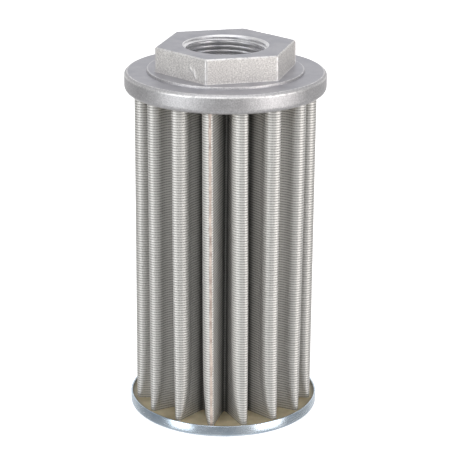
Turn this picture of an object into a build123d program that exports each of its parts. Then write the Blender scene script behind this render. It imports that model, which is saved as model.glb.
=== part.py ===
from build123d import *
from math import asin, atan2, cos, degrees, hypot, radians, sin
import os

# A hydraulic suction strainer, in millimetres. It stands on its bottom cap with
# the axis along +Z and the origin at the centre of the cap's underside.

# Head casting
overall_height = 188.0
hex_across_flats = 61.5
hex_height = 12.1
hex_draft = 1.0
hex_corner_round = 0.8
hex_top_chamfer = 0.4
disc_radius = 38.5
disc_height = 1.2
flange_wall = 3.9
flange_thickness = 9.6
flange_chamfer = 1.2
flange_lower_round = 3.6
channel_depth = 6.0
spigot_length = 6.0

# Threaded port, a 1 1/4 inch pipe thread of 11 turns to the inch, drilled to its
# minor diameter
port_minor_diameter = 38.952
port_thread_length = 19.0
port_relief_radius = 21.2
countersink_radius = 23.75
countersink_angle = 120.0

# Pleated wire cloth, folded outwards at the crests and inwards at the valleys
pleat_count = 16
pleat_turn = -92.25
element_radius = 45.0
cloth_thickness = 0.8
crest_fold = 3.8
valley_fold = 0.6
seam_pleat = 15
seam_gap = 0.6
bead_sink = 0.15

# Perforated support tube
tube_radius = 26.2
tube_wall = 1.0
tube_hole_radius = 7.0
tube_hole_rows = 5
tube_holes_per_row = 4
tube_end_land = 16.0
tube_embedded = 2.7

# Bottom cap, pressed from sheet
cap_height = 5.9
cap_sheet = 0.8
cap_bend = 1.5

# Potting compound
bottom_potting_level = 4.5
top_potting_recess = 0.8

# Clearances
tube_to_spigot = 0.3
cloth_to_tube = 0.3
cloth_to_channel = 0.6
cloth_to_cap = 1.8

# Heights that follow from the sizes above
disc_top = overall_height - hex_height
flange_top = disc_top - disc_height
flange_bottom = flange_top - flange_thickness
channel_roof = flange_bottom + channel_depth
spigot_bottom = flange_bottom - spigot_length
top_potting_face = flange_bottom + top_potting_recess
tube_bottom = bottom_potting_level - tube_embedded

# Radii that follow from the sizes above
port_radius = port_minor_diameter / 2
channel_radius = element_radius + cloth_to_channel
flange_radius = channel_radius + flange_wall
cap_bore_radius = element_radius + cloth_to_cap
cap_radius = cap_bore_radius + cap_sheet
tube_bore_radius = tube_radius - tube_wall
spigot_radius = tube_bore_radius - tube_to_spigot
crest_centre_radius = element_radius - crest_fold
valley_centre_radius = tube_radius + cloth_to_tube + cloth_thickness + valley_fold
countersink_depth = (countersink_radius - port_radius) / sin(radians(countersink_angle / 2))
countersink_depth *= cos(radians(countersink_angle / 2))

# The flank between a crest and the next valley is tangent to both folds. Its
# lean is measured from the radius through the crest.
pleat_pitch = 360 / pleat_count
valley_across = valley_centre_radius * sin(radians(pleat_pitch / 2))
valley_along = crest_centre_radius - valley_centre_radius * cos(radians(pleat_pitch / 2))
fold_spacing = hypot(valley_across, valley_along)
flank_lean = degrees(atan2(valley_across, valley_along) - asin((crest_fold + valley_fold) / fold_spacing))
crest_sweep = 180 - 2 * flank_lean
valley_sweep = crest_sweep - pleat_pitch
seam_angle = pleat_turn + seam_pleat * pleat_pitch

os.makedirs("parts", exist_ok=True)


def on_ray(radius, angle):
    """Point at a radius from the axis, on a ray at an angle from +X."""
    return Vector(radius, 0).rotate(Axis.Z, angle)


def draw_cloth_face(inset):
    """Closed line of arcs and flanks that lies inset below the cloth's outer face."""
    for number in range(pleat_count):
        crest_angle = pleat_turn + number * pleat_pitch
        valley_angle = crest_angle + pleat_pitch / 2
        crest = CenterArc(
            on_ray(crest_centre_radius, crest_angle),
            crest_fold - inset,
            crest_angle - crest_sweep / 2,
            crest_sweep,
        )
        valley = CenterArc(
            on_ray(valley_centre_radius, valley_angle),
            valley_fold + inset,
            valley_angle + 180 + valley_sweep / 2,
            -valley_sweep,
        )
        Line(crest @ 1, valley @ 0)
        Line(valley @ 1, (crest @ 0).rotate(Axis.Z, pleat_pitch))


# Section of the folded cloth, open where its two ends meet on the seam pleat's crest
with BuildSketch() as cloth_section:
    with BuildLine():
        draw_cloth_face(0)
    make_face()
    with BuildLine():
        draw_cloth_face(cloth_thickness)
    make_face(mode=Mode.SUBTRACT)
    with Locations(Location(on_ray(element_radius, seam_angle), (0, 0, seam_angle))):
        Rectangle(2 * crest_fold, seam_gap, mode=Mode.SUBTRACT)

# Section of the support tube's wall
with BuildSketch() as tube_section:
    Circle(tube_radius)
    Circle(tube_bore_radius, mode=Mode.SUBTRACT)

# Head: flange, raised disc and spigot turned from one section, the hexagon on top
with BuildPart() as head:
    with BuildSketch(Plane.XZ) as head_section:
        with BuildLine():
            Polyline(
                (0, spigot_bottom),
                (spigot_radius, spigot_bottom),
                (spigot_radius, channel_roof),
                (channel_radius, channel_roof),
                (channel_radius, flange_bottom),
                (flange_radius, flange_bottom),
                (flange_radius, flange_top),
                (disc_radius, flange_top),
                (disc_radius, disc_top),
                (0, disc_top),
                close=True,
            )
        make_face()
        rim_corners = head_section.vertices().group_by(Axis.X)[-1].sort_by(Axis.Y)
        fillet(rim_corners[0], flange_lower_round)
        rim_corners = head_section.vertices().group_by(Axis.X)[-1].sort_by(Axis.Y)
        chamfer(rim_corners[-1], flange_chamfer)
    revolve(axis=Axis.Z)
    with BuildSketch(Plane.XY.offset(disc_top)):
        RegularPolygon(hex_across_flats / 2, 6, major_radius=False)
    extrude(amount=hex_height, taper=hex_draft)
    fillet(head.edges().filter_by_position(Axis.Z, disc_top + 1, overall_height - 1), hex_corner_round)
    chamfer(head.edges().group_by(Axis.Z)[-1], hex_top_chamfer)
    with Locations((0, 0, overall_height)):
        CounterSinkHole(port_radius, countersink_radius, counter_sink_angle=countersink_angle)
    with BuildSketch(Plane.XY.offset(spigot_bottom)):
        Circle(port_relief_radius)
    relief_top = overall_height - countersink_depth - port_thread_length
    extrude(amount=relief_top - spigot_bottom, mode=Mode.SUBTRACT)
head.part.label = "head"
export_step(head.part, "parts/head.step")

# Pleated mesh: one folded strip, bonded at each end to the face of the compound
with BuildPart() as pleated_mesh:
    with BuildSketch(Plane.XY.offset(bottom_potting_level)):
        add(cloth_section.sketch)
    extrude(amount=top_potting_face - bottom_potting_level)
pleated_mesh.part.label = "pleated_mesh"
export_step(pleated_mesh.part, "parts/pleated_mesh.step")

# Seam bead: fills the gap between the strip's ends, a little below their outer face
with BuildPart() as seam_bead:
    bead_depth = cloth_thickness - bead_sink
    bead_radius = element_radius - cloth_thickness + bead_depth / 2
    with BuildSketch(Plane.XY.offset(bottom_potting_level)):
        with Locations(Location(on_ray(bead_radius, seam_angle), (0, 0, seam_angle))):
            Rectangle(bead_depth, seam_gap)
    extrude(amount=top_potting_face - bottom_potting_level)
seam_bead.part.label = "seam_bead"
export_step(seam_bead.part, "parts/seam_bead.step")

# Support tube: slides over the head's spigot and stands in the lower compound. Its
# rows of holes are staggered, and each drilling goes through both walls.
with BuildPart() as support_tube:
    with BuildSketch(Plane.XY.offset(tube_bottom)):
        add(tube_section.sketch)
    extrude(amount=channel_roof - tube_bottom)
    lowest_row = bottom_potting_level + tube_end_land
    row_pitch = (spigot_bottom - tube_end_land - lowest_row) / (tube_hole_rows - 1)
    hole_pitch = 360 / tube_holes_per_row
    drillings = []
    for row in range(tube_hole_rows):
        for number in range(tube_holes_per_row // 2):
            height = lowest_row + row * row_pitch
            angle = (number + row % 2 / 2) * hole_pitch
            drillings.append(Plane(origin=(0, 0, height), x_dir=(0, 0, 1), z_dir=on_ray(1, angle)))
    with BuildSketch(*drillings):
        Circle(tube_hole_radius)
    extrude(amount=tube_radius + 1, both=True, mode=Mode.SUBTRACT)
support_tube.part.label = "support_tube"
export_step(support_tube.part, "parts/support_tube.step")

# Bottom cap: a shallow dish, its wall turned up over a bend
with BuildPart() as bottom_cap:
    with BuildSketch():
        Circle(cap_radius)
    extrude(amount=cap_height)
    fillet(bottom_cap.edges().group_by(Axis.Z)[0], cap_bend)
    with BuildSketch(Plane.XY.offset(cap_sheet)):
        Circle(cap_bore_radius)
    extrude(amount=cap_height - cap_sheet, mode=Mode.SUBTRACT)
bottom_cap.part.label = "bottom_cap"
export_step(bottom_cap.part, "parts/bottom_cap.step")

# Bottom potting: fills the cap to its level and grips the foot of the tube
with BuildPart() as bottom_potting:
    with BuildSketch(Plane.XY.offset(cap_sheet)):
        Circle(cap_bore_radius)
    extrude(amount=bottom_potting_level - cap_sheet)
    with BuildSketch(Plane.XY.offset(tube_bottom)):
        add(tube_section.sketch)
    extrude(amount=tube_embedded, mode=Mode.SUBTRACT)
bottom_potting.part.label = "bottom_potting"
export_step(bottom_potting.part, "parts/bottom_potting.step")

# Top potting: fills the head's channel outside the tube
with BuildPart() as top_potting:
    with BuildSketch(Plane.XY.offset(top_potting_face)):
        Circle(channel_radius)
        Circle(tube_radius, mode=Mode.SUBTRACT)
    extrude(amount=channel_roof - top_potting_face)
top_potting.part.label = "top_potting"
export_step(top_potting.part, "parts/top_potting.step")
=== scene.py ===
import logging
import math
from dataclasses import dataclass, field
from enum import Enum

import bmesh
import bpy
import numpy as np
from mathutils import Matrix, Vector, noise
from mathutils.kdtree import KDTree


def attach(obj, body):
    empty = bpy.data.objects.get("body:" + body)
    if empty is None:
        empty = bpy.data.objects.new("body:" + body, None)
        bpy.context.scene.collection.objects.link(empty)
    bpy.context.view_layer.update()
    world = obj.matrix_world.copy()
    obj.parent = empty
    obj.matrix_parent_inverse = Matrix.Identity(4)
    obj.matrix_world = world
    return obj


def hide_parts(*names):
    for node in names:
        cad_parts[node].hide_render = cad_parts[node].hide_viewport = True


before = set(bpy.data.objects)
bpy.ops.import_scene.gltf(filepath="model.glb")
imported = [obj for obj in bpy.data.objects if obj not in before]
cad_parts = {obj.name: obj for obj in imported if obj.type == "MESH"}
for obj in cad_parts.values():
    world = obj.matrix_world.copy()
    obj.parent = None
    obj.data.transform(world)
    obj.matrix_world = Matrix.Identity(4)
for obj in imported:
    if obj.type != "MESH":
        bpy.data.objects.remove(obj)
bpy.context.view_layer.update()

MM = 0.001
BODY = "root"

logging.basicConfig(level=logging.INFO, format="%(message)s")
log = logging.getLogger("strainer")


class Hand(Enum):
    """Which way a face of the compound looks."""

    UP = 1.0
    DOWN = -1.0


class Nodes:
    """A node tree, with one short call for each kind of node that the finishes and the sky use."""

    def __init__(self, tree: bpy.types.NodeTree) -> None:
        """Keep the tree that the nodes go into."""
        self.tree = tree

    def node(self, kind: str, **settings: object) -> bpy.types.Node:
        """Add a node.

        Args:
            kind: the node's type.
            settings: its properties by name.

        Returns:
            The new node.
        """
        made = self.tree.nodes.new(kind)
        for name, value in settings.items():
            setattr(made, name, value)
        return made

    def feed(self, socket: bpy.types.NodeSocket, value: object) -> None:
        """Link a socket to another, or set its value.

        Args:
            socket: the input.
            value: an output socket, a number or a colour.
        """
        if isinstance(value, bpy.types.NodeSocket):
            self.tree.links.new(value, socket)
        else:
            socket.default_value = value

    def place(self) -> bpy.types.NodeSocket:
        """The point on the piece, in metres."""
        return self.node("ShaderNodeTexCoord").outputs["Object"]

    def stretch(self, vector: object, scale: tuple[float, float, float]) -> bpy.types.NodeSocket:
        """Scale a vector along each axis.

        Args:
            vector: the output to scale.
            scale: the three factors.

        Returns:
            The scaled vector.
        """
        made = self.node("ShaderNodeVectorMath", operation="MULTIPLY")
        self.feed(made.inputs[0], vector)
        made.inputs[1].default_value = scale
        return made.outputs[0]

    def parts(self, vector: object) -> tuple[bpy.types.NodeSocket, ...]:
        """Split a vector.

        Args:
            vector: the output to split.

        Returns:
            Its x, y and z.
        """
        made = self.node("ShaderNodeSeparateXYZ")
        self.feed(made.inputs[0], vector)
        return tuple(made.outputs)

    def sum_up(self, operation: str, *values: object) -> bpy.types.NodeSocket:
        """One Math node.

        Args:
            operation: the node's operation.
            values: its inputs, as sockets or numbers.

        Returns:
            The result.
        """
        made = self.node("ShaderNodeMath", operation=operation)
        for socket, value in zip(made.inputs, values):
            self.feed(socket, value)
        return made.outputs[0]

    def noise(
        self, vector: object, scale: float, detail: float = 3.0, rough: float = 0.55
    ) -> bpy.types.NodeSocket:
        """Soft noise from 0 to 1.

        Args:
            vector: where it is read.
            scale: cells per metre, or per unit of the vector.
            detail: octaves.
            rough: weight of the finer octaves.

        Returns:
            The noise value.
        """
        made = self.node("ShaderNodeTexNoise")
        self.feed(made.inputs["Vector"], vector)
        made.inputs["Scale"].default_value = scale
        made.inputs["Detail"].default_value = detail
        made.inputs["Roughness"].default_value = rough
        return made.outputs["Fac"]

    def cells(self, vector: object, scale: float) -> bpy.types.NodeSocket:
        """Distance to the nearest of scattered points, for grains and pits.

        Args:
            vector: where it is read.
            scale: cells per metre.

        Returns:
            The distance.
        """
        made = self.node("ShaderNodeTexVoronoi")
        self.feed(made.inputs["Vector"], vector)
        made.inputs["Scale"].default_value = scale
        return made.outputs["Distance"]

    def span(
        self, value: object, low: float, high: float, first: float = 0.0, last: float = 1.0
    ) -> bpy.types.NodeSocket:
        """Map a range to another, clamped.

        Args:
            value: the input.
            low: the input that gives first.
            high: the input that gives last.
            first: the result at low.
            last: the result at high.

        Returns:
            The mapped value.
        """
        made = self.node("ShaderNodeMapRange", clamp=True)
        for socket, item in zip(made.inputs, (value, low, high, first, last)):
            self.feed(socket, item)
        return made.outputs[0]

    def blend(self, factor: object, first: object, second: object) -> bpy.types.NodeSocket:
        """Mix two colours.

        Args:
            factor: 0 for the first, 1 for the second.
            first: a colour or socket.
            second: a colour or socket.

        Returns:
            The mixed colour.
        """
        made = self.node("ShaderNodeMix", data_type="RGBA")
        self.feed(made.inputs[0], factor)
        self.feed(made.inputs[6], first)
        self.feed(made.inputs[7], second)
        return made.outputs[2]

    def attribute(self, name: str) -> bpy.types.NodeSocket:
        """A number stored on the mesh's points."""
        return self.node("ShaderNodeAttribute", attribute_name=name).outputs["Fac"]

    def relief(
        self, height: object, strength: float, distance: float, below: object = None
    ) -> bpy.types.NodeSocket:
        """A Bump node.

        Args:
            height: the height, from 0 to 1.
            strength: how much of it is used.
            distance: the depth in metres.
            below: the normal that it adds to.

        Returns:
            The bent normal.
        """
        made = self.node("ShaderNodeBump")
        made.inputs["Strength"].default_value = strength
        made.inputs["Distance"].default_value = distance
        self.feed(made.inputs["Height"], height)
        if below is not None:
            self.feed(made.inputs["Normal"], below)
        return made.outputs[0]


class Graph(Nodes):
    """A new material's node tree, with its Principled shader."""

    def __init__(self, name: str) -> None:
        """Start the material.

        Args:
            name: the material's name.
        """
        self.material = bpy.data.materials.new(name)
        self.material.use_nodes = True
        super().__init__(self.material.node_tree)
        self.shader = self.tree.nodes["Principled BSDF"]

    def finish(
        self, colour: object, metallic: float, rough: object, normal: object = None
    ) -> bpy.types.Material:
        """Feed the shader.

        Args:
            colour: base colour.
            metallic: 0 or 1.
            rough: roughness.
            normal: the bent normal.

        Returns:
            The material.
        """
        self.feed(self.shader.inputs["Base Color"], colour)
        self.shader.inputs["Metallic"].default_value = metallic
        self.feed(self.shader.inputs["Roughness"], rough)
        if normal is not None:
            self.feed(self.shader.inputs["Normal"], normal)
        return self.material


@dataclass(frozen=True)
class CastFinish:
    """Die-cast aluminium: pitted sides, smoother top faces, bright at edges that are partly worn and partly
    given painted highlights.
    """

    name: str = "cast_aluminium"
    side_colour: tuple[float, ...] = (0.68, 0.67, 0.685, 1.0)
    dark_colour: tuple[float, ...] = (0.47, 0.465, 0.475, 1.0)
    # painted shade colour for faces that look up
    painted_top_shade_colour: tuple[float, ...] = (0.40, 0.40, 0.44, 1.0)
    # sandblasted hexagon sides, with their colour raised as painted light
    sand_and_painted_light_colour: tuple[float, ...] = (0.93, 0.91, 0.89, 1.0)
    sand_and_painted_light_shade: tuple[float, ...] = (0.58, 0.56, 0.55, 1.0)
    worn_and_highlight_colour: tuple[float, ...] = (0.86, 0.85, 0.85, 1.0)
    grain: float = 1500.0
    pits: float = 2200.0

    def build(self) -> bpy.types.Material:
        """Make the material."""
        g = Graph(self.name)
        place = g.place()
        upward = g.parts(g.node("ShaderNodeNewGeometry").outputs["Normal"])[2]
        flat = g.span(upward, 0.75, 0.97)
        grain = g.noise(place, self.grain, 3.0, 0.6)
        blotch = g.noise(place, 140.0, 3.0)
        pit = g.span(g.cells(place, self.pits), 0.05, 0.45)
        speckle = g.sum_up("MULTIPLY", g.span(grain, 0.36, 0.66), g.span(blotch, 0.25, 0.7, 0.75, 1.0))
        # hexagon sides: a real, rougher sandblasted finish, and painted light that brightens their colour
        sand_and_painted_light = g.attribute("sand_and_painted_light")
        pale = g.blend(sand_and_painted_light, self.side_colour, self.sand_and_painted_light_colour)
        side = g.blend(speckle, g.blend(sand_and_painted_light, self.dark_colour, self.sand_and_painted_light_shade), pale)
        # painted shade: faces that look up are painted darker and bluer than the sides
        top = g.blend(g.span(blotch, 0.3, 0.7, 0.0, 0.35), self.painted_top_shade_colour, self.side_colour)
        body = g.blend(flat, side, top)
        # partly real wear, partly painted highlight: the marked edges are painted bright
        wear_and_edge_highlight = g.sum_up("MULTIPLY", g.attribute("wear_and_edge_highlight"), g.span(g.noise(place, 700.0, 4.0, 0.7), 0.36, 0.56))
        colour = g.blend(wear_and_edge_highlight, body, self.worn_and_highlight_colour)
        calm = g.sum_up("SUBTRACT", 1.0, g.sum_up("MULTIPLY", flat, 0.75))
        mottle = g.sum_up("ADD", g.sum_up("MULTIPLY", grain, 0.5), g.sum_up("MULTIPLY", blotch, 0.5))
        rough = g.span(mottle, 0.3, 0.7, 0.40, 0.56)
        rough = g.sum_up("SUBTRACT", rough, g.sum_up("MULTIPLY", wear_and_edge_highlight, 0.14))
        rough = g.sum_up("ADD", rough, g.sum_up("MULTIPLY", sand_and_painted_light, 0.12))
        height = g.sum_up("ADD", g.sum_up("MULTIPLY", grain, 0.75), g.sum_up("MULTIPLY", pit, 0.25))
        height = g.sum_up("MULTIPLY", height, calm)
        low = g.relief(blotch, 0.10, 0.0006)
        normal = g.relief(height, 0.40, 0.00030, low)
        return g.finish(colour, 1.0, rough, normal)


@dataclass(frozen=True)
class MachinedFinish:
    """Aluminium that a tool has turned: brighter, with fine rings round the axis."""

    name: str = "machined_aluminium"
    colour: tuple[float, ...] = (0.96, 0.955, 0.965, 1.0)
    shade: tuple[float, ...] = (0.80, 0.80, 0.83, 1.0)

    def build(self) -> bpy.types.Material:
        """Make the material."""
        g = Graph(self.name)
        place = g.place()
        x, y, z = g.parts(place)
        out = g.sum_up("SQRT", g.sum_up("ADD", g.sum_up("MULTIPLY", x, x), g.sum_up("MULTIPLY", y, y)))
        ring = g.node("ShaderNodeCombineXYZ")
        g.feed(ring.inputs[0], out)
        g.feed(ring.inputs[2], z)
        tool = g.noise(ring.outputs[0], 2600.0, 2.0)
        stain = g.noise(place, 240.0, 3.0)
        colour = g.blend(g.span(stain, 0.3, 0.62), self.shade, self.colour)
        rough = g.span(tool, 0.3, 0.7, 0.24, 0.38)
        return g.finish(colour, 1.0, rough, g.relief(tool, 0.25, 0.0001))


@dataclass(frozen=True)
class WireFinish:
    """Woven stainless wire. The weave is read from the cloth's own map, one unit a wire."""

    name: str = "wire_cloth"
    level_radius: float = 0.37
    upright_radius: float = 0.13
    crimp: float = 0.03
    upright_sink: float = 0.20
    wire_colour: tuple[float, ...] = (0.69, 0.68, 0.66, 1.0)
    dull_colour: tuple[float, ...] = (0.57, 0.56, 0.54, 1.0)
    # painted shade colour for the gaps between the wires
    painted_hole_shade_colour: tuple[float, ...] = (0.27, 0.265, 0.255, 1.0)
    # painted shade colour for the valley folds near the core
    painted_valley_shade_colour: tuple[float, ...] = (0.07, 0.07, 0.068, 1.0)

    def height(self, u: np.ndarray, v: np.ndarray) -> np.ndarray:
        """Height of the cloth's outer side, in pitches above its middle.

        Args:
            u: place along the strip, in upright wires.
            v: place up the strip, in level wires.

        Returns:
            The height at each place.
        """
        near_u, near_v = np.round(u), np.round(v)
        level = np.sqrt(np.maximum(self.level_radius**2 - (v - near_v) ** 2, 0.0))
        level = np.where(level > 0, level + self.crimp * np.cos(np.pi * (u + near_v)), -self.level_radius)
        upright = np.sqrt(np.maximum(self.upright_radius**2 - (u - near_u) ** 2, 0.0))
        wave = self.crimp * np.cos(np.pi * (v + near_u)) + self.upright_sink
        upright = np.where(upright > 0, upright - wave, -self.level_radius)
        return np.maximum(level, upright)

    def wire(
        self, g: Graph, across: object, along: object, radius: float, crimp: float, sink: float
    ) -> bpy.types.NodeSocket:
        """Nodes for the height of one set of wires.

        Args:
            g: the tree.
            across: place across the wires.
            along: place along them.
            radius: the wire's radius in pitches.
            crimp: how far it rises and falls.
            sink: how far it lies below the other set.

        Returns:
            The height.
        """
        near = g.sum_up("ROUND", across)
        off = g.sum_up("SUBTRACT", across, near)
        inside = g.sum_up("SUBTRACT", radius**2, g.sum_up("MULTIPLY", off, off))
        rise = g.sum_up("SQRT", g.sum_up("MAXIMUM", inside, 0.0))
        phase = g.sum_up("MULTIPLY", g.sum_up("ADD", along, near), math.pi)
        wave = g.sum_up("MULTIPLY", g.sum_up("COSINE", phase), crimp)
        shown = g.span(inside, 0.0, radius**2 * 0.3)
        top = g.sum_up("ADD", g.sum_up("ADD", rise, wave), self.level_radius - sink)
        return g.sum_up("MULTIPLY", top, shown)

    def build(self) -> bpy.types.Material:
        """Make the material."""
        g = Graph(self.name)
        place = g.place()
        weave = g.node("ShaderNodeUVMap", uv_map="weave").outputs[0]
        u, v, _ = g.parts(weave)
        level = self.wire(g, v, u, self.level_radius, self.crimp, 0.0)
        upright = self.wire(g, u, v, self.upright_radius, -self.crimp, self.upright_sink)
        height = g.sum_up("MAXIMUM", level, upright)
        strand = g.noise(g.stretch(weave, (0.35, 1.0, 1.0)), 1.4, 2.0)
        blotch = g.noise(place, 60.0, 3.0)
        tone = g.sum_up("MULTIPLY", g.span(strand, 0.3, 0.7, 0.35, 1.0), g.span(blotch, 0.3, 0.7, 0.7, 1.0))
        metal = g.blend(tone, self.dull_colour, self.wire_colour)
        # painted shade: the low places of the weave, the gaps between wires, are darkened as if the dark
        # inside showed through
        colour = g.blend(g.span(height, 0.05, 0.62), self.painted_hole_shade_colour, metal)
        # painted shade: the cloth darkens towards the valley folds near the core, where the pleats lie in
        # shade
        colour = g.blend(g.sum_up("MULTIPLY", g.attribute("deep"), 0.75), colour, self.painted_valley_shade_colour)
        rough = g.span(strand, 0.3, 0.7, 0.42, 0.52)
        return g.finish(colour, 0.7, rough, g.relief(height, 0.4, 0.0004))


@dataclass(frozen=True)
class GlueFinish:
    """Dark cured adhesive, uneven and a little glossy."""

    name: str = "seam_adhesive"

    def build(self) -> bpy.types.Material:
        """Make the material."""
        g = Graph(self.name)
        place = g.place()
        lump = g.noise(place, 420.0, 4.0)
        colour = g.blend(g.span(lump, 0.3, 0.7), (0.24, 0.185, 0.16, 1.0), (0.50, 0.42, 0.37, 1.0))
        return g.finish(colour, 0.0, g.span(lump, 0.3, 0.7, 0.35, 0.6), g.relief(lump, 0.5, 0.0004))


@dataclass(frozen=True)
class ZincFinish:
    """Bright bluish zinc plate on pressed sheet, with faint drawing marks round it."""

    name: str = "cap_steel"
    colour: tuple[float, ...] = (0.74, 0.83, 0.92, 1.0)
    shade: tuple[float, ...] = (0.52, 0.63, 0.75, 1.0)

    def build(self) -> bpy.types.Material:
        """Make the material."""
        g = Graph(self.name)
        place = g.place()
        drawn = g.noise(g.stretch(place, (1.0, 1.0, 9.0)), 260.0, 3.0)
        cloud = g.noise(place, 70.0, 3.0)
        spot = g.span(g.cells(place, 420.0), 0.05, 0.2)
        tone = g.sum_up("MULTIPLY", g.span(cloud, 0.3, 0.65), g.span(spot, 0.0, 1.0, 0.8, 1.0))
        colour = g.blend(tone, self.shade, self.colour)
        streak = g.sum_up("ADD", g.sum_up("MULTIPLY", drawn, 0.6), g.sum_up("MULTIPLY", cloud, 0.4))
        rough = g.span(streak, 0.3, 0.7, 0.17, 0.32)
        return g.finish(colour, 1.0, rough, g.relief(drawn, 0.12, 0.0002))


@dataclass(frozen=True)
class CompoundFinish:
    """Cast amber compound: waxy and cloudy, painted darker towards the metal wall as painted shade."""

    name: str = "potting_compound"
    pale: tuple[float, ...] = (0.52, 0.45, 0.31, 1.0)
    deep: tuple[float, ...] = (0.30, 0.25, 0.155, 1.0)
    # painted shade colour at the outer rim
    edge: tuple[float, ...] = (0.10, 0.085, 0.05, 1.0)

    def build(self) -> bpy.types.Material:
        """Make the material."""
        g = Graph(self.name)
        place = g.place()
        cloud = g.noise(place, 110.0, 4.0)
        fleck = g.span(g.cells(place, 500.0), 0.04, 0.16)
        body = g.blend(g.span(cloud, 0.3, 0.7), self.deep, self.pale)
        body = g.blend(fleck, self.deep, body)
        # painted shade: darker towards the outer rim, where the compound meets the metal wall
        colour = g.blend(g.attribute("painted_rim_shade"), body, self.edge)
        g.shader.inputs["Subsurface Weight"].default_value = 0.08
        g.shader.inputs["Subsurface Scale"].default_value = 0.002
        return g.finish(colour, 0.0, g.span(cloud, 0.3, 0.7, 0.32, 0.5), g.relief(cloud, 0.3, 0.0006))


@dataclass(frozen=True)
class CoreFinish:
    """Dull zinc on rolled sheet, for the perforated tube."""

    name: str = "core_steel"

    def build(self) -> bpy.types.Material:
        """Make the material."""
        g = Graph(self.name)
        place = g.place()
        rolled = g.noise(g.stretch(place, (1.0, 1.0, 0.12)), 900.0, 3.0)
        cloud = g.noise(place, 80.0, 3.0)
        colour = g.blend(g.span(cloud, 0.3, 0.7), (0.42, 0.43, 0.44, 1.0), (0.62, 0.63, 0.64, 1.0))
        return g.finish(colour, 1.0, g.span(rolled, 0.3, 0.7, 0.34, 0.52), g.relief(rolled, 0.2, 0.0002))


@dataclass(frozen=True)
class FloorFinish:
    """Matt white paper, lit a little from below."""

    name: str = "studio_paper"
    glow: float = 0.5

    def build(self) -> bpy.types.Material:
        """Make the material."""
        g = Graph(self.name)
        fibre = g.noise(g.place(), 300.0, 2.0)
        colour = g.blend(fibre, (0.93, 0.93, 0.93, 1.0), (0.95, 0.95, 0.95, 1.0))
        g.shader.inputs["Emission Color"].default_value = (1.0, 1.0, 1.0, 1.0)
        g.shader.inputs["Emission Strength"].default_value = self.glow
        return g.finish(colour, 0.0, 0.9)


class Shop:
    """Turns a bmesh in millimetres into a piece that rides on the frame."""

    @staticmethod
    def piece(name: str, bm: bmesh.types.BMesh, materials: list[bpy.types.Material]) -> bpy.types.Object:
        """Scale to metres, make the mesh, add its materials and link.

        Args:
            name: the piece's name.
            bm: its mesh, in millimetres.
            materials: its materials in slot order.

        Returns:
            The object.
        """
        bmesh.ops.scale(bm, vec=(MM, MM, MM), verts=bm.verts)
        mesh = bpy.data.meshes.new(name)
        bm.to_mesh(mesh)
        bm.free()
        for material in materials:
            mesh.materials.append(material)
        made = bpy.data.objects.new(name, mesh)
        bpy.context.scene.collection.objects.link(made)
        return made

    @staticmethod
    def smooth(piece: bpy.types.Object, angle: float = 35.0) -> None:
        """Shade smooth, but sharp across steep edges.

        Args:
            piece: the object.
            angle: the steepest edge in degrees that stays smooth.
        """
        piece.data.shade_smooth()
        piece.data.set_sharp_from_angle(angle=math.radians(angle))

    @staticmethod
    def hand_over(piece: bpy.types.Object, slot: str, *nodes: str) -> None:
        """Let a piece ride on the frame in place of CAD nodes, and report it.

        Args:
            piece: the object.
            slot: a material slot's name; not used.
            nodes: the CAD nodes that it stands for.
        """
        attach(piece, BODY)
        if nodes:
            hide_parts(*nodes)
        piece.data.calc_loop_triangles()
        count = len(piece.data.loop_triangles)
        log.info("%s: %d triangles, stands for %s", piece.name, count, ", ".join(nodes) or "itself")

    @staticmethod
    def lathe(profile: list[tuple[float, float]], steps: int) -> bmesh.types.BMesh:
        """Turn a closed section of (radius, height) points about the axis.

        Args:
            profile: the section's corners in order.
            steps: faces round the axis.

        Returns:
            The closed, turned mesh with its faces outwards.
        """
        bm = bmesh.new()
        corners = [bm.verts.new((radius, 0.0, height)) for radius, height in profile]
        edges = [bm.edges.new(pair) for pair in zip(corners, corners[1:] + corners[:1])]
        bmesh.ops.spin(
            bm,
            geom=corners + edges,
            cent=(0, 0, 0),
            axis=(0, 0, 1),
            dvec=(0, 0, 0),
            angle=2 * math.pi,
            steps=steps,
            use_merge=True,
            use_duplicate=False,
        )
        bmesh.ops.remove_doubles(bm, verts=bm.verts, dist=1e-4)
        bmesh.ops.recalc_face_normals(bm, faces=bm.faces)
        return bm

    @staticmethod
    def ring_edges(
        bm: bmesh.types.BMesh, radius: float, height: float, slack: float = 0.02
    ) -> list[bmesh.types.BMEdge]:
        """Edges that run round the axis at one radius and height.

        Args:
            bm: the mesh.
            radius: the ring's radius.
            height: the ring's height.
            slack: how far a corner may be off.

        Returns:
            The ring's edges.
        """

        def on_ring(vert: bmesh.types.BMVert) -> bool:
            """Whether a corner lies on the ring."""
            return abs(vert.co.z - height) < slack and abs(vert.co.xy.length - radius) < slack

        return [edge for edge in bm.edges if on_ring(edge.verts[0]) and on_ring(edge.verts[1])]

    @staticmethod
    def bevel(
        bm: bmesh.types.BMesh, edges: list[bmesh.types.BMEdge], offset: float, segments: int
    ) -> list[bmesh.types.BMFace]:
        """Round or chamfer edges.

        Args:
            bm: the mesh.
            edges: what is beveled.
            offset: how far the bevel reaches on each side.
            segments: 1 for a chamfer, more for a round.

        Returns:
            The new faces.
        """
        made = bmesh.ops.bevel(
            bm,
            geom=edges,
            offset=offset,
            affect="EDGES",
            segments=segments,
            profile=0.5,
            material=-1,
            clamp_overlap=True,
        )
        return made["faces"]


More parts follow.
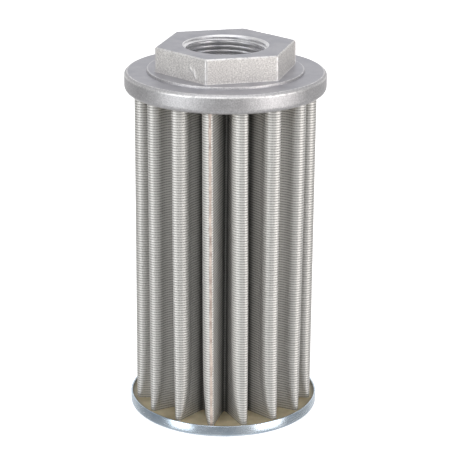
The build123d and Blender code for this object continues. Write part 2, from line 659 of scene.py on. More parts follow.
@dataclass
class HeadCasting:
    """The die-cast head: hexagon, raised disc, flange, channel and spigot, with its threaded port."""

    overall_height: float = 188.0
    hex_apothem: float = 30.75
    hex_height: float = 12.1
    hex_draft: float = 1.0
    hex_top_chamfer: float = 0.45
    corner_rounds: tuple[float, ...] = (0.95, 0.5, 0.6, 0.8, 0.5, 0.45)
    disc_radius: float = 38.5
    disc_height: float = 1.2
    flange_radius: float = 49.5
    flange_thickness: float = 9.6
    flange_chamfer: float = 1.2
    flange_lower_round: float = 2.8
    channel_radius: float = 45.6
    channel_depth: float = 6.0
    spigot_radius: float = 24.9
    spigot_length: float = 6.0
    relief_radius: float = 21.2
    minor_radius: float = 19.476
    major_radius: float = 20.955
    thread_pitch: float = 2.309
    thread_length: float = 19.0
    thread_half_angle: float = 27.5
    countersink_radius: float = 23.75
    lip_radius: float = 21.15
    lip_drop: float = 0.5
    flaw_marks: tuple[tuple[float, float, float, float], ...] = ((10.9, 6.6, 9.0, 4.4), (8.3, 5.7, 6.9, 1.8))
    steps: int = 384
    finish: CastFinish = field(default_factory=CastFinish)
    bore_finish: MachinedFinish = field(default_factory=MachinedFinish)

    def __post_init__(self) -> None:
        """Work out the heights that follow from the sizes."""
        self.disc_top = self.overall_height - self.hex_height
        self.flange_top = self.disc_top - self.disc_height
        self.flange_bottom = self.flange_top - self.flange_thickness
        self.channel_roof = self.flange_bottom + self.channel_depth
        self.spigot_bottom = self.flange_bottom - self.spigot_length
        sink = (self.countersink_radius - self.minor_radius) / math.tan(math.radians(60))
        self.thread_top = self.overall_height - sink
        self.thread_bottom = self.thread_top - self.thread_length
        self.top_apothem = self.hex_apothem - self.hex_height * math.tan(math.radians(self.hex_draft))

    def turned(self) -> bmesh.types.BMesh:
        """The casting as turned work, with the hexagon still round.

        Returns:
            The mesh in millimetres.
        """
        lean = (self.hex_apothem - self.top_apothem) / self.hex_height

        def side(height: float) -> tuple[float, float]:
            """A point on the hexagon's side, that far above the disc."""
            return self.hex_apothem - lean * height, self.disc_top + height

        edge = self.hex_top_chamfer
        lip = self.overall_height - self.lip_drop
        profile = [
            (self.minor_radius, self.thread_bottom),
            (self.minor_radius, lip - self.lip_radius + self.minor_radius),
            (self.lip_radius, lip),
            (self.countersink_radius, self.overall_height),
            (self.countersink_radius + 1.2, self.overall_height),
            (self.top_apothem - edge - 0.35, self.overall_height),
            (self.top_apothem - edge, self.overall_height),
            side(self.hex_height - edge),
            side(self.hex_height - edge - 0.4),
            *(side(self.hex_height * share / 22) for share in range(20, 1, -1)),
            side(0.3),
            (self.hex_apothem + 0.3, self.disc_top),
            (self.hex_apothem + 0.9, self.disc_top),
            (self.disc_radius - 0.9, self.disc_top),
            (self.disc_radius, self.disc_top),
            (self.disc_radius + 0.1, self.flange_top),
            (self.flange_radius - self.flange_chamfer - 0.7, self.flange_top),
            (self.flange_radius - self.flange_chamfer, self.flange_top),
            (self.flange_radius - self.flange_chamfer / 2, self.flange_top - self.flange_chamfer / 2),
            (self.flange_radius, self.flange_top - self.flange_chamfer),
            (self.flange_radius, self.flange_top - self.flange_chamfer - 0.7),
            (self.flange_radius, self.flange_bottom),
            (self.channel_radius, self.flange_bottom),
            (self.channel_radius, self.channel_roof),
            (self.spigot_radius, self.channel_roof),
            (self.spigot_radius, self.spigot_bottom),
            (self.relief_radius, self.spigot_bottom),
            (self.relief_radius, self.thread_bottom),
        ]
        bm = Shop.lathe(profile, self.steps)
        lower_edge = Shop.ring_edges(bm, self.flange_radius, self.flange_bottom)
        Shop.bevel(bm, lower_edge, self.flange_lower_round, 6)
        for radius, height, offset in (
            (self.disc_radius, self.disc_top, 0.3),
            (self.flange_radius - self.flange_chamfer, self.flange_top, 0.22),
            (self.flange_radius, self.flange_top - self.flange_chamfer, 0.22),
            (self.countersink_radius, self.overall_height, 0.15),
        ):
            Shop.bevel(bm, Shop.ring_edges(bm, radius, height), offset, 2)
        return bm

    def press_hexagon(self, bm: bmesh.types.BMesh) -> None:
        """Move the hexagon's rings from round to six-sided, and round its corners.

        Args:
            bm: the turned casting.
        """
        low, high = self.top_apothem - self.hex_top_chamfer - 0.6, self.hex_apothem + 1.0
        for vert in bm.verts:
            reach = vert.co.xy.length
            if vert.co.z > self.disc_top - 0.01 and low < reach < high:
                off_flat = math.degrees(math.atan2(vert.co.y, vert.co.x)) % 60 - 30
                spread = 1 / math.cos(math.radians(off_flat))
                vert.co.x *= spread
                vert.co.y *= spread
        for number, offset in enumerate(self.corner_rounds):
            bearing = math.radians(60 * number)
            ray = Vector((math.cos(bearing), math.sin(bearing)))
            upright = []
            for edge in bm.edges:
                first, last = (vert.co for vert in edge.verts)
                if min(first.z, last.z) < self.disc_top + 0.2 or abs(first.z - last.z) < 0.1:
                    continue
                if all((p.xy - ray * p.xy.length).length < 0.02 and p.xy.length > 34 for p in (first, last)):
                    upright.append(edge)
            Shop.bevel(bm, upright, offset, 3)

    def chip_edges(self, bm: bmesh.types.BMesh) -> None:
        """Knock small chips off the hexagon's top edge, and mark edges that are worn and edges that get
        painted highlights.

        Args:
            bm: the casting.
        """
        # mask for worn edges and for edges with painted highlights
        wear_and_edge_highlight = bm.verts.layers.float.new("wear_and_edge_highlight")
        sand_and_painted_light = bm.verts.layers.float.new("sand_and_painted_light")
        hexagon_rim = self.top_apothem - self.hex_top_chamfer - 0.3
        chamfer_top = self.flange_radius - self.flange_chamfer - 0.25
        underside_rim = self.flange_radius - self.flange_lower_round
        for vert in bm.verts:
            reach, height = vert.co.xy.length, vert.co.z
            off_flat = math.degrees(math.atan2(vert.co.y, vert.co.x)) % 60 - 30
            from_axis = reach * math.cos(math.radians(off_flat))
            on_hexagon = height > self.disc_top + 0.25 and from_axis > hexagon_rim
            if on_hexagon:
                # mark the hexagon's sides for their sandblasted finish and the painted light on them
                vert[sand_and_painted_light] = 1.0
            if on_hexagon and height > self.overall_height - self.hex_top_chamfer - 0.1:
                knock = noise.noise(vert.co * 0.9) + 0.6 * noise.noise(vert.co * 2.3)
                vert.co.z -= 0.28 * max(0.0, knock - 0.1)
                vert.co.xy *= 1 - 0.006 * max(0.0, knock)
                vert[wear_and_edge_highlight] = 1.0
            elif on_hexagon and abs(off_flat) > 28.6:
                vert[wear_and_edge_highlight] = 0.9
            elif abs(height - self.flange_top) < 0.15 and reach > chamfer_top:
                vert[wear_and_edge_highlight] = 0.9
            elif abs(height - self.flange_top + self.flange_chamfer) < 0.25 and reach > chamfer_top + 0.9:
                vert[wear_and_edge_highlight] = 0.9
            elif abs(height - self.disc_top) < 0.1 and abs(reach - self.disc_radius) < 0.4:
                vert[wear_and_edge_highlight] = 0.6
            elif height < self.flange_bottom + 0.1 and abs(reach - underside_rim) < 0.2:
                vert[wear_and_edge_highlight] = 0.7

    def raise_flaw(self, bm: bmesh.types.BMesh) -> None:
        """Raise the two slanted casting marks on the hexagon's left front face.

        Args:
            bm: the casting, with its layer of wear and painted edge highlights.
        """
        wear_and_edge_highlight = bm.verts.layers.float["wear_and_edge_highlight"]
        corner = Vector((-0.5, -math.sqrt(0.75))) * self.hex_apothem / math.cos(math.radians(30))
        run, out = Vector((-0.5, math.sqrt(0.75))), Vector((-math.sqrt(0.75), -0.5))
        for vert in bm.verts:
            if vert.co.z < self.disc_top + 0.5 or abs(vert.co.xy.dot(out) - self.hex_apothem) > 0.4:
                continue
            place = Vector(((vert.co.xy - corner).dot(run), vert.co.z - self.disc_top))
            for x_1, y_1, x_2, y_2 in self.flaw_marks:
                first, last = Vector((x_1, y_1)), Vector((x_2, y_2))
                share = (place - first).dot(last - first) / (last - first).length_squared
                gap = (place - first - (last - first) * min(1.0, max(0.0, share))).length
                rise = math.exp(-((gap / 0.45) ** 2))
                vert.co.xy += out * 0.35 * rise
                vert[wear_and_edge_highlight] = max(vert[wear_and_edge_highlight], 0.9 * rise)

    def thread_cutter(self) -> bpy.types.Object:
        """A coil with the thread's groove as its section.

        Returns:
            The cutter as an object in millimetres.
        """
        lean = math.tan(math.radians(self.thread_half_angle))
        peak = self.thread_pitch * 0.960491 / 6
        mouth = self.minor_radius - 0.12

        def half(radius: float) -> float:
            """Half the groove's width at a radius."""
            return (self.major_radius + peak - radius) * lean

        start, per_turn, turns = self.thread_bottom - 1.6, 96, 10
        root = self.major_radius - 0.16
        section = [
            (mouth, -half(mouth)),
            (root, -half(root)),
            (self.major_radius, -0.09),
            (self.major_radius, 0.09),
            (root, half(root)),
            (mouth, half(mouth)),
        ]
        bm = bmesh.new()
        face = bm.faces.new([bm.verts.new((radius, 0, start + height)) for radius, height in section])
        bmesh.ops.spin(
            bm,
            geom=list(face.verts) + list(face.edges) + [face],
            cent=(0, 0, 0),
            axis=(0, 0, 1),
            dvec=(0, 0, self.thread_pitch / per_turn),
            angle=2 * math.pi * turns,
            steps=per_turn * turns,
            use_merge=False,
            use_duplicate=False,
        )
        bmesh.ops.remove_doubles(bm, verts=bm.verts, dist=1e-5)
        bmesh.ops.recalc_face_normals(bm, faces=bm.faces)
        mesh = bpy.data.meshes.new("thread_cutter")
        bm.to_mesh(mesh)
        bm.free()
        cutter = bpy.data.objects.new("thread_cutter", mesh)
        bpy.context.scene.collection.objects.link(cutter)
        return cutter

    def cut_thread(self, piece: bpy.types.Object) -> None:
        """Cut the thread into the port.

        Args:
            piece: the casting, in millimetres.
        """
        cutter = self.thread_cutter()
        cut = piece.modifiers.new("thread", "BOOLEAN")
        cut.operation = "DIFFERENCE"
        cut.solver = "EXACT"
        cut.object = cutter
        graph = bpy.context.evaluated_depsgraph_get()
        graph.update()
        threaded = bpy.data.meshes.new_from_object(piece.evaluated_get(graph))
        piece.modifiers.clear()
        plain = piece.data
        piece.data = threaded
        bpy.data.meshes.remove(plain)
        bpy.data.objects.remove(cutter)

    def build(self) -> bpy.types.Object:
        """Make the casting and set it in the frame.

        Returns:
            The piece.
        """
        bm = self.turned()
        self.press_hexagon(bm)
        self.chip_edges(bm)
        self.raise_flaw(bm)
        bmesh.ops.recalc_face_normals(bm, faces=bm.faces)
        mesh = bpy.data.meshes.new("head_casting")
        bm.to_mesh(mesh)
        bm.free()
        piece = bpy.data.objects.new("head_casting", mesh)
        bpy.context.scene.collection.objects.link(piece)
        self.cut_thread(piece)
        bm = bmesh.new()
        bm.from_mesh(piece.data)
        bmesh.ops.remove_doubles(bm, verts=bm.verts, dist=2e-4)
        for face in bm.faces:
            centre = face.calc_center_median()
            turned = centre.xy.length < self.lip_radius - 0.02 and centre.z > self.thread_bottom - 0.5
            face.material_index = 1 if turned else 0
        bpy.data.objects.remove(piece)
        piece = Shop.piece("head_casting", bm, [self.finish.build(), self.bore_finish.build()])
        Shop.smooth(piece, 32.0)
        Shop.hand_over(piece, "cast_aluminium", "head")
        return piece


@dataclass(frozen=True)
class Pleat:
    """One pleat as folded: the radius of each side of its crest, and its lean in degrees."""

    left: float
    right: float
    low: float
    high: float


@dataclass
class PleatedCloth:
    """Wire cloth: woven flat as strips, then folded into pleats round the core."""

    pleat_count: int = 16
    pleat_turn: float = -92.25
    seam_pleat: int = 15
    seam_gap: float = 0.6
    outer_radius: float = 45.0
    valley_fold: float = 0.6
    valley_centre: float = 27.9
    neck_fold: float = 10.0
    flare: float = 5.0
    thickness: float = 0.8
    foot: float = 4.5
    head: float = 165.9
    pinched_crest: float = 1.7
    pinch_height: float = 11.0
    level_wires: int = 124
    wires_per_pleat: int = 30
    relief: float = 0.20
    # radii in millimetres where the painted valley shade starts and where it is full
    valley_shade_from: float = 31.5
    valley_shade_to: float = 28.8
    strips: tuple[tuple[float, float], ...] = ((0.0, 4.5), (4.5, 8.5), (8.5, 12.5), (12.5, 16.0))
    pleats: tuple[Pleat, ...] = (
        Pleat(5.4, 2.0, 1.15, -0.55),
        Pleat(4.9, 2.0, 0.05, -0.55),
        Pleat(4.0, 2.2, -0.6, 1.2),
        Pleat(3.9, 3.9, -1.2, 1.0),
        Pleat(3.8, 4.0, -0.5, 0.6),
        Pleat(4.0, 3.7, -1.3, -0.7),
        Pleat(3.7, 4.1, 1.5, 0.8),
        Pleat(4.1, 3.9, 0.4, -0.4),
        Pleat(3.8, 3.8, -0.8, 0.9),
        Pleat(4.0, 4.2, 0.9, -0.8),
        Pleat(3.6, 3.9, -0.5, 0.5),
        Pleat(4.0, 3.8, 0.3, -0.6),
        Pleat(3.8, 3.9, -0.6, -2.0),
        Pleat(2.2, 4.0, 1.4, 0.0),
        Pleat(2.0, 4.9, 1.4, -1.0),
        Pleat(4.4, 1.5, 2.4, 0.6),
    )
    finish: WireFinish = field(default_factory=WireFinish)

    def __post_init__(self) -> None:
        """Work out the pleat's angle and the length of strip that one pleat takes."""
        self.pitch = 360 / self.pleat_count
        folds = self.section(np.array([3.8]), np.array([0.0]))
        self.length = 2 * float(folds["length"][0])

    def section(self, crest: np.ndarray, flare: np.ndarray) -> dict[str, np.ndarray]:
        """Half a pleat: crest arc, neck arc, flank and valley arc, each tangent to the next.

        Args:
            crest: radius of the crest's outer face.
            flare: degrees that the flank leans out more than a straight flank without a neck.

        Returns:
            The crest's centre, the headings and the lengths, by name.
        """
        half = math.radians(self.pitch / 2)
        centre = self.outer_radius - crest
        across = self.valley_centre * math.sin(half)
        along = centre - self.valley_centre * math.cos(half)
        straight = np.arctan2(across, along) - np.arcsin((crest + self.valley_fold) / np.hypot(across, along))
        flank_turn = math.pi / 2 - straight - np.radians(flare)
        reach = across * np.sin(flank_turn) - along * np.cos(flank_turn)
        share = (reach - self.valley_fold + self.neck_fold) / (crest + self.neck_fold)
        crest_turn = flank_turn + np.arccos(np.minimum(share, 1.0))
        neck_x = centre + (crest + self.neck_fold) * np.cos(crest_turn) - self.neck_fold * np.cos(flank_turn)
        neck_y = (crest + self.neck_fold) * np.sin(crest_turn) - self.neck_fold * np.sin(flank_turn)
        foot_x = self.valley_centre * math.cos(half) - self.valley_fold * np.cos(flank_turn)
        foot_y = across - self.valley_fold * np.sin(flank_turn)
        flank = np.hypot(foot_x - neck_x, foot_y - neck_y)
        neck_arc = (crest_turn - flank_turn) * self.neck_fold
        valley_arc = (flank_turn - half) * self.valley_fold
        return {
            "centre": centre,
            "crest_turn": crest_turn,
            "flank_turn": flank_turn,
            "crest_arc": crest_turn * crest,
            "neck_arc": neck_arc,
            "flank": flank,
            "length": crest_turn * crest + neck_arc + flank + valley_arc,
        }

    def fold(self, along: np.ndarray, depth: np.ndarray, height: np.ndarray) -> np.ndarray:
        """Carry points of the flat strip to their places on the folded cloth.

        Args:
            along: distance from the seam along the strip.
            depth: height above the strip's outer face.
            height: height above the floor.

        Returns:
            The points, one row each.
        """
        number = np.floor(along / self.length + 0.5)
        index = (self.seam_pleat + number.astype(int)) % self.pleat_count
        offset = along - number * self.length
        side = np.sign(offset) + (offset == 0)
        left = np.array([pleat.left for pleat in self.pleats])
        right = np.array([pleat.right for pleat in self.pleats])
        loose = 1 - np.exp(-(height - self.foot) / self.pinch_height)
        full = np.where(side < 0, left[index], right[index])
        crest = np.minimum(full, self.pinched_crest) + np.maximum(full - self.pinched_crest, 0.0) * loose
        folds = self.section(crest, self.flare * loose * (full > self.pinched_crest))
        run = np.abs(offset) / (self.length / 2) * folds["length"]
        bend = np.minimum(run / crest, folds["crest_turn"])
        in_neck = np.clip(run - folds["crest_arc"], 0.0, folds["neck_arc"])
        on_flank = np.clip(run - folds["crest_arc"] - folds["neck_arc"], 0.0, folds["flank"])
        in_valley = np.maximum(run - folds["crest_arc"] - folds["neck_arc"] - folds["flank"], 0.0)
        after_neck = bend - in_neck / self.neck_fold
        turn = after_neck - in_valley / self.valley_fold
        x = folds["centre"] + (crest + self.neck_fold) * np.cos(bend) - self.neck_fold * np.cos(after_neck)
        y = (crest + self.neck_fold) * np.sin(bend) - self.neck_fold * np.sin(after_neck)
        x += -np.sin(after_neck) * on_flank + self.valley_fold * (np.cos(after_neck) - np.cos(turn))
        y += np.cos(after_neck) * on_flank + self.valley_fold * (np.sin(after_neck) - np.sin(turn))
        x += np.cos(turn) * depth
        y = side * (y + np.sin(turn) * depth)
        share = np.clip((height - self.foot) / (self.head - self.foot), 0.0, 1.0)
        low = np.array([pleat.low for pleat in self.pleats])
        high = np.array([pleat.high for pleat in self.pleats])
        fold_depth = self.outer_radius - self.valley_centre
        tip = np.clip((np.hypot(x, y) - self.valley_centre) / fold_depth, 0.0, 1.0)
        sway = 0.25 * np.sin(share * 5.1 + 2.4 * index) * (index != self.seam_pleat)
        shift = np.radians(low[index] + (high - low)[index] * share + sway) * tip
        bearing = np.arctan2(y, x) + shift
        bearing += np.radians(self.pleat_turn + (self.seam_pleat + number) * self.pitch)
        reach = np.hypot(x, y)
        return np.stack([reach * np.cos(bearing), reach * np.sin(bearing), height], axis=1)

    def strip_mesh(self, first: float, last: float) -> bmesh.types.BMesh:
        """A closed flat strip: fine on its outer face, plain on its inner one.

        Args:
            first: where it starts, in pleats from the seam.
            last: where it ends.

        Returns:
            The strip, with x along it, y up it and z out of it.
        """
        columns = round((last - first) * self.wires_per_pleat * 2)
        rows = self.level_wires * 2
        length, height = (last - first) * self.length, self.head - self.foot
        bm = bmesh.new()
        shape = Matrix.Translation((first * self.length + length / 2, self.foot + height / 2, 0))
        shape = shape @ Matrix.Diagonal((length / 2, height / 2, 1, 1))
        outer = bmesh.ops.create_grid(bm, x_segments=columns, y_segments=rows, size=1, matrix=shape)["verts"]
        shape = Matrix.Translation((0, 0, -self.thickness)) @ shape
        inner = bmesh.ops.create_grid(bm, x_segments=columns, y_segments=1, size=1, matrix=shape)["verts"]
        bmesh.ops.reverse_faces(bm, faces=list({face for vert in inner for face in vert.link_faces}))
        outer_rims = [edge for edge in {e for v in outer for e in v.link_edges} if edge.is_boundary]
        inner_rims = [edge for edge in {e for v in inner for e in v.link_edges} if edge.is_boundary]
        for level in (self.foot, self.head):
            rim = [e for e in outer_rims + inner_rims if all(abs(v.co.y - level) < 1e-4 for v in e.verts)]
            bmesh.ops.bridge_loops(bm, edges=sorted(rim, key=lambda e: (e.verts[0].co.z, e.verts[0].co.x)))
        bmesh.ops.holes_fill(bm, edges=[edge for edge in bm.edges if edge.is_boundary], sides=0)
        return bm

    def weave(self, number: int, first: float, last: float, material: bpy.types.Material) -> bpy.types.Object:
        """Weave and fold one strip.

        Args:
            number: the strip's number.
            first: where it starts, in pleats from the seam.
            last: where it ends.
            material: its finish.

        Returns:
            The piece.
        """
        name = f"wire_cloth_{number}"
        bm = self.strip_mesh(first, last)
        mesh = bpy.data.meshes.new(name)
        bm.to_mesh(mesh)
        bm.free()
        flat = np.empty(len(mesh.vertices) * 3)
        mesh.vertices.foreach_get("co", flat)
        flat = flat.reshape(-1, 3)
        u = flat[:, 0] / self.length * self.wires_per_pleat
        v = (flat[:, 1] - self.foot) / (self.head - self.foot) * self.level_wires
        woven = self.finish.height(u, v)
        low, high = woven.min(), woven.max()
        depth = flat[:, 2] + np.where(flat[:, 2] > -0.01, (woven - high) / (high - low) * self.relief, 0.0)
        ends = self.seam_gap / 2, self.pleat_count * self.length - self.seam_gap / 2
        placed = self.fold(np.clip(flat[:, 0], *ends), depth, flat[:, 1]) * MM
        mesh.vertices.foreach_set("co", placed.ravel())
        # painted shade mask: 0 outside the valley folds, 1 deep in them
        reach = np.hypot(placed[:, 0], placed[:, 1]) / MM
        deep = np.clip((self.valley_shade_from - reach) / (self.valley_shade_from - self.valley_shade_to), 0.0, 1.0)
        mesh.attributes.new("deep", "FLOAT", "POINT").data.foreach_set("value", deep)
        corners = np.empty(len(mesh.loops), dtype=np.int32)
        mesh.loops.foreach_get("vertex_index", corners)
        mapped = mesh.uv_layers.new(name="weave")
        mapped.data.foreach_set("uv", np.stack([u, v], axis=1)[corners].ravel())
        mesh.update()
        mesh.materials.append(material)
        piece = bpy.data.objects.new(name, mesh)
        bpy.context.scene.collection.objects.link(piece)
        Shop.smooth(piece, 75.0)
        return piece

    def seam_bearing(self, height: float) -> float:
        """Bearing of the seam in radians at a height above the floor."""
        share = (height - self.foot) / (self.head - self.foot)
        seam = self.pleats[self.seam_pleat]
        lean = seam.low * (1 - share) + seam.high * share
        return math.radians(self.pleat_turn + self.seam_pleat * self.pitch + lean)

    def foot_line(self) -> np.ndarray:
        """Points along the cloth's outer face where it stands in the compound."""
        along = np.linspace(0, self.pleat_count * self.length, 2400)
        return self.fold(along, np.zeros_like(along), np.full_like(along, self.foot))

    def build(self) -> list[bpy.types.Object]:
        """Make all strips and set them in the frame.

        Returns:
            The pieces.
        """
        material = self.finish.build()
        made = []
        for number, (first, last) in enumerate(self.strips, start=1):
            piece = self.weave(number, first, last, material)
            Shop.hand_over(piece, "wire_cloth", "pleated_mesh")
            made.append(piece)
        return made


@dataclass
class SeamBead:
    """The adhesive between the cloth's two ends, squeezed out unevenly."""

    cloth: PleatedCloth
    width: float = 1.3
    depth: float = 0.8
    outer_radius: float = 45.15
    foot: float = 4.5
    head: float = 165.9
    finish: GlueFinish = field(default_factory=GlueFinish)

    def build(self) -> bpy.types.Object:
        """Make the bead and set it in the frame.

        Returns:
            The piece.
        """
        bm = bmesh.new()
        bmesh.ops.create_cube(bm, size=1)
        bmesh.ops.scale(bm, vec=(self.depth, self.width, self.head - self.foot), verts=bm.verts)
        middle = (self.head + self.foot) / 2
        bmesh.ops.translate(bm, vec=(self.outer_radius - self.depth / 2, 0, middle), verts=bm.verts)
        upright = [e for e in bm.edges if abs(e.verts[0].co.z - e.verts[1].co.z) > 1]
        Shop.bevel(bm, [e for e in upright if e.verts[0].co.x > self.outer_radius - 0.1], 0.24, 3)
        upright = [e for e in bm.edges if abs(e.verts[0].co.z - e.verts[1].co.z) > 1]
        bmesh.ops.subdivide_edges(bm, edges=upright, cuts=150)
        for vert in bm.verts:
            vert.co.y *= 1 + 0.55 * noise.noise(Vector((vert.co.z * 0.35, 3.1, 0)))
            vert.co.y += 0.12 * noise.noise(Vector((vert.co.z * 0.12, 7.7, 0)))
            vert.co.x += 0.05 * noise.noise(Vector((vert.co.z * 0.5, vert.co.y * 2, 1.7))) - 0.04
            vert.co.rotate(Matrix.Rotation(self.cloth.seam_bearing(vert.co.z), 3, "Z"))
        bmesh.ops.recalc_face_normals(bm, faces=bm.faces)
        piece = Shop.piece("seam_adhesive_bead", bm, [self.finish.build()])
        Shop.smooth(piece, 50.0)
        Shop.hand_over(piece, "seam_adhesive", "seam_bead")
        return piece


@dataclass
class PressedCap:
    """The shallow plated dish at the bottom."""

    radius: float = 47.6
    height: float = 5.9
    sheet: float = 0.8
    bend: float = 1.5
    steps: int = 256
    finish: ZincFinish = field(default_factory=ZincFinish)

    def build(self) -> bpy.types.Object:
        """Make the cap and set it in the frame.

        Returns:
            The piece.
        """
        inner = self.radius - self.sheet
        profile = [
            (6.0, 0.0),
            (24.0, 0.0),
            (self.radius, 0.0),
            (self.radius, self.height / 2),
            (self.radius, self.height),
            (inner, self.height),
            (inner, self.sheet),
            (24.0, self.sheet),
            (6.0, self.sheet),
        ]
        bm = Shop.lathe(profile, self.steps)
        for height in (0.0, self.sheet):
            hole = Shop.ring_edges(bm, 6.0, height)
            wall = [face for face in hole[0].link_faces if abs(face.normal.z) < 0.5]
            if wall:
                upright = [face for face in bm.faces if abs(face.normal.z) < 0.5]
                doomed = [face for face in upright if face.calc_center_median().xy.length < 6.1]
                bmesh.ops.delete(bm, geom=doomed, context="FACES_ONLY")
            bmesh.ops.edgeloop_fill(bm, edges=Shop.ring_edges(bm, 6.0, height))
        Shop.bevel(bm, Shop.ring_edges(bm, self.radius, 0.0), self.bend, 6)
        Shop.bevel(bm, Shop.ring_edges(bm, inner, self.sheet), 0.6, 3)
        rims = Shop.ring_edges(bm, self.radius, self.height) + Shop.ring_edges(bm, inner, self.height)
        Shop.bevel(bm, rims, 0.22, 3)
        for vert in bm.verts:
            if vert.co.z > self.height - 0.5:
                vert.co.z -= 0.10 * max(0.0, noise.noise(Vector((vert.co.x * 0.06, vert.co.y * 0.06, 0.3))))
        bmesh.ops.recalc_face_normals(bm, faces=bm.faces)
        piece = Shop.piece("pressed_cap", bm, [self.finish.build()])
        Shop.smooth(piece, 40.0)
        Shop.hand_over(piece, "cap_steel", "bottom_cap")
        return piece


@dataclass
class CompoundRing:
    """A ring of potting compound whose open face is uneven and climbs on what stands in it."""

    name: str
    node: str
    hand: Hand
    face: float
    back: float
    inner_radius: float
    outer_radius: float
    cloth: PleatedCloth
    steps: int = 420
    bands: int = 26

    def build(self, material: bpy.types.Material) -> bpy.types.Object:
        """Make the ring and set it in the frame.

        Args:
            material: the compound.

        Returns:
            The piece.
        """
        reach = self.outer_radius - self.inner_radius
        stops = [self.inner_radius + reach * step / self.bands for step in range(self.bands + 1)]
        profile = [(radius, self.face) for radius in stops]
        profile += [(self.outer_radius, self.back), (self.inner_radius, self.back)]
        bm = Shop.lathe(profile, self.steps)
        painted_rim_shade = bm.verts.layers.float.new("painted_rim_shade")
        feet = self.cloth.foot_line()
        tree = KDTree(len(feet))
        for number, point in enumerate(feet):
            tree.insert((point[0], point[1], 0), number)
        tree.balance()
        for vert in bm.verts:
            if abs(vert.co.z - self.face) > 0.01:
                continue
            gap = tree.find((vert.co.x, vert.co.y, 0))[2]
            edge = self.outer_radius - vert.co.xy.length
            rise = 0.55 * math.exp(-gap / 0.7) + 0.35 * math.exp(-edge / 0.6)
            rise += 0.16 * noise.noise(vert.co * 0.16) + 0.07 * noise.noise(vert.co * 0.6)
            vert.co.z += self.hand.value * rise
            # painted shade mask, strongest at the outer rim
            vert[painted_rim_shade] = min(1.0, 0.9 * math.exp(-edge / 0.9))
        bmesh.ops.recalc_face_normals(bm, faces=bm.faces)
        piece = Shop.piece(self.name, bm, [material])
        Shop.smooth(piece, 50.0)
        Shop.hand_over(piece, "potting_compound", self.node)
        return piece


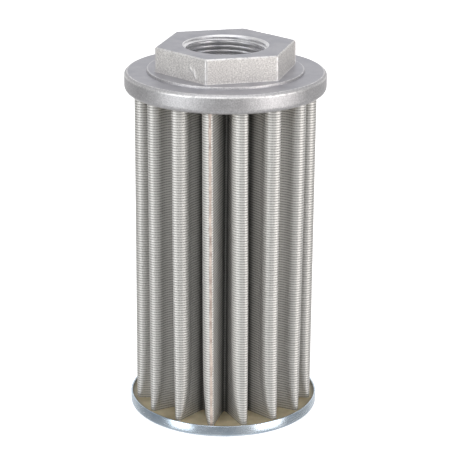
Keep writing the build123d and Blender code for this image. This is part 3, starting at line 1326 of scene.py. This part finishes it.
@dataclass
class Studio:
    """White paper floor, soft boxes and the camera that the photograph was taken with."""

    image_side: float = 458.0
    focal: float = 1814.1
    sensor: float = 36.0
    distance: float = 862.5
    height: float = 389.2
    turn: float = -14.85
    yaw: float = 0.152
    pitch: float = 18.972
    roll: float = 0.454
    sky_back: float = 0.85
    sky_side: float = 0.34
    sky_top: float = 0.40
    sky_below: float = 0.40
    finish: FloorFinish = field(default_factory=FloorFinish)

    def floor(self) -> None:
        """Lay the floor."""
        bm = bmesh.new()
        bmesh.ops.create_grid(bm, x_segments=1, y_segments=1, size=40000)
        piece = Shop.piece("floor", bm, [self.finish.build()])
        piece.visible_glossy = False
        piece.visible_shadow = False

    def camera(self) -> None:
        """Set the camera where the photograph was taken from."""
        yaw, pitch, roll = (math.radians(a) for a in (self.yaw, self.pitch, self.roll))
        ahead = Vector((math.sin(yaw) * math.cos(pitch), math.cos(yaw) * math.cos(pitch), -math.sin(pitch)))
        right = Vector((math.cos(yaw), -math.sin(yaw), 0))
        up = right.cross(ahead)
        level, tall = right.copy(), up.copy()
        right = math.cos(roll) * level + math.sin(roll) * tall
        up = -math.sin(roll) * level + math.cos(roll) * tall
        place = Matrix.Translation(Vector((0, -self.distance, self.height)) * MM)
        axes = Matrix((right, up, -ahead)).transposed().to_4x4()
        data = bpy.data.cameras.new("camera")
        data.sensor_width = self.sensor
        data.lens = self.focal / self.image_side * self.sensor
        data.clip_start, data.clip_end = 0.01, 50.0
        camera = bpy.data.objects.new("camera", data)
        camera.matrix_world = Matrix.Rotation(math.radians(self.turn), 4, "Z") @ place @ axes
        bpy.context.scene.collection.objects.link(camera)
        bpy.context.scene.camera = camera

    def soft_box(
        self,
        name: str,
        bearing: float,
        rise: float,
        far: float,
        size: tuple[float, float],
        power: float,
        tint: tuple[float, float, float] = (1.0, 1.0, 1.0),
    ) -> None:
        """Hang one soft box that looks at the object.

        Args:
            name: the light's name.
            bearing: degrees to the right of the camera, seen from above.
            rise: degrees above the floor.
            far: metres from the object.
            size: width and height in metres.
            power: watts.
            tint: the light's colour.
        """
        data = bpy.data.lights.new(name, "AREA")
        data.shape = "RECTANGLE"
        data.size, data.size_y = size
        data.energy = power
        data.color = tint
        lamp = bpy.data.objects.new(name, data)
        angle = math.radians(-90 + self.turn + bearing)
        lift = math.radians(rise)
        target = Vector((0, 0, 0.09))
        away = Vector((math.cos(angle) * math.cos(lift), math.sin(angle) * math.cos(lift), math.sin(lift)))
        lamp.location = target + away * far
        lamp.rotation_euler = (-away).to_track_quat("-Z", "Y").to_euler()
        bpy.context.scene.collection.objects.link(lamp)

    def sky(self) -> None:
        """Fill the room with soft light: brightest behind and above, dim at the camera and at the sides."""
        world = bpy.data.worlds.new("studio")
        world.use_nodes = True
        g = Nodes(world.node_tree)
        look = g.node("ShaderNodeTexCoord").outputs["Generated"]
        to_camera = math.radians(-90 + self.turn)
        toward = g.node("ShaderNodeVectorMath", operation="DOT_PRODUCT")
        g.feed(toward.inputs[0], look)
        toward.inputs[1].default_value = (math.cos(to_camera), math.sin(to_camera), 0)
        level = g.span(toward.outputs["Value"], -0.92, -0.40, self.sky_back, self.sky_side)
        zenith = g.span(g.parts(look)[2], 0.25, 0.95, 0.0, self.sky_top)
        below = g.span(g.parts(look)[2], -0.45, -0.9, 0.0, self.sky_below)
        background = g.tree.nodes["Background"]
        g.feed(background.inputs["Strength"], g.sum_up("ADD", g.sum_up("ADD", level, zenith), below))
        background.inputs["Color"].default_value = (1.0, 1.0, 1.0, 1.0)
        bpy.context.scene.world = world

    def light(self) -> None:
        """Hang the lights."""
        bpy.context.scene.view_settings.view_transform = "Standard"
        self.soft_box("left_box", -52, 4, 1.3, (0.62, 1.7), 8.0, (0.98, 1.0, 1.0))
        self.soft_box("right_box", 56, 4, 1.3, (0.78, 1.7), 11.0, (1.0, 0.97, 0.945))
        self.soft_box("front_box", -12, 42, 1.5, (0.9, 0.6), 4.0)
        self.soft_box("top_box", 10, 80, 1.4, (1.2, 1.2), 3.0)

    def build(self) -> None:
        """Set up the whole studio."""
        self.floor()
        self.camera()
        self.sky()
        self.light()


def main() -> None:
    """Build every piece in order and report it."""
    Studio().build()
    HeadCasting().build()
    cloth = PleatedCloth()
    cloth.build()
    SeamBead(cloth).build()
    PressedCap().build()
    compound = CompoundFinish().build()
    CompoundRing("lower_compound", "bottom_potting", Hand.UP, 4.5, 0.8, 0.5, 46.8, cloth).build(compound)
    CompoundRing("upper_compound", "top_potting", Hand.DOWN, 165.9, 171.1, 26.2, 45.6, cloth).build(compound)
    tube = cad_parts["support_tube"]
    tube.data.materials.clear()
    tube.data.materials.append(CoreFinish().build())
    log.info("support_tube: the frame's own mesh, with its finish")


if __name__ == "__main__":
    main()
